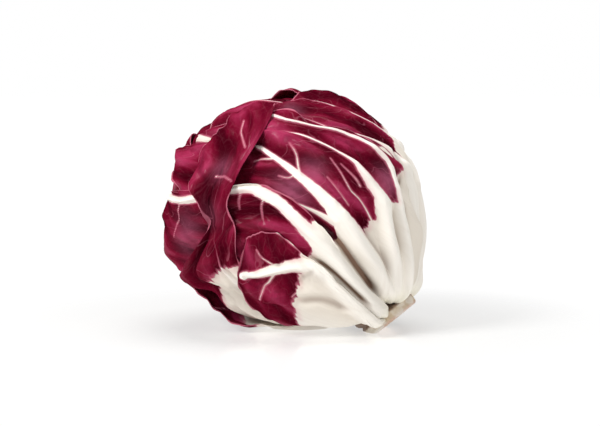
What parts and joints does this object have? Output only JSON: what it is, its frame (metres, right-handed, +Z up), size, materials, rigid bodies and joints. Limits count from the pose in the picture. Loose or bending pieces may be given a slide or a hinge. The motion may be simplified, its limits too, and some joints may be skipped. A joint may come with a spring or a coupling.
{
  "type": "radicchio",
  "caption": "Round head of red radicchio lying on its side: a dense heart on a cut stem, wrapped in overlapping leaves with thick pale ribs and waved margins.",
  "frame": {"origin": "on the surface that the head lies on, under the middle of its bounding box", "axes": "+Z up, +X to the right as seen by a viewer who has the cut stem low on the right, and +Y away from that viewer"},
  "size_m": [0.1236, 0.1158, 0.1116],
  "materials": {
    "heart": "moist cream-coloured stem and pale packed leaves",
    "inner_leaves": "waxy wine-red leaf with a cream rib",
    "outer_leaves": "waxy wine-red leaf with thick cream ribs and base"
  },
  "bodies": {
    "root": {"heart": "heart", "inner_leaf_back": "inner_leaves", "inner_leaf_front": "inner_leaves", "inner_leaf_low": "inner_leaves", "inner_leaf_top": "inner_leaves", "leaf_back": "outer_leaves", "leaf_back_low": "outer_leaves", "leaf_crest": "outer_leaves", "leaf_front": "outer_leaves", "leaf_front_low": "outer_leaves", "leaf_right": "outer_leaves", "leaf_short": "outer_leaves", "leaf_under": "outer_leaves"}
  },
  "joints": []
}
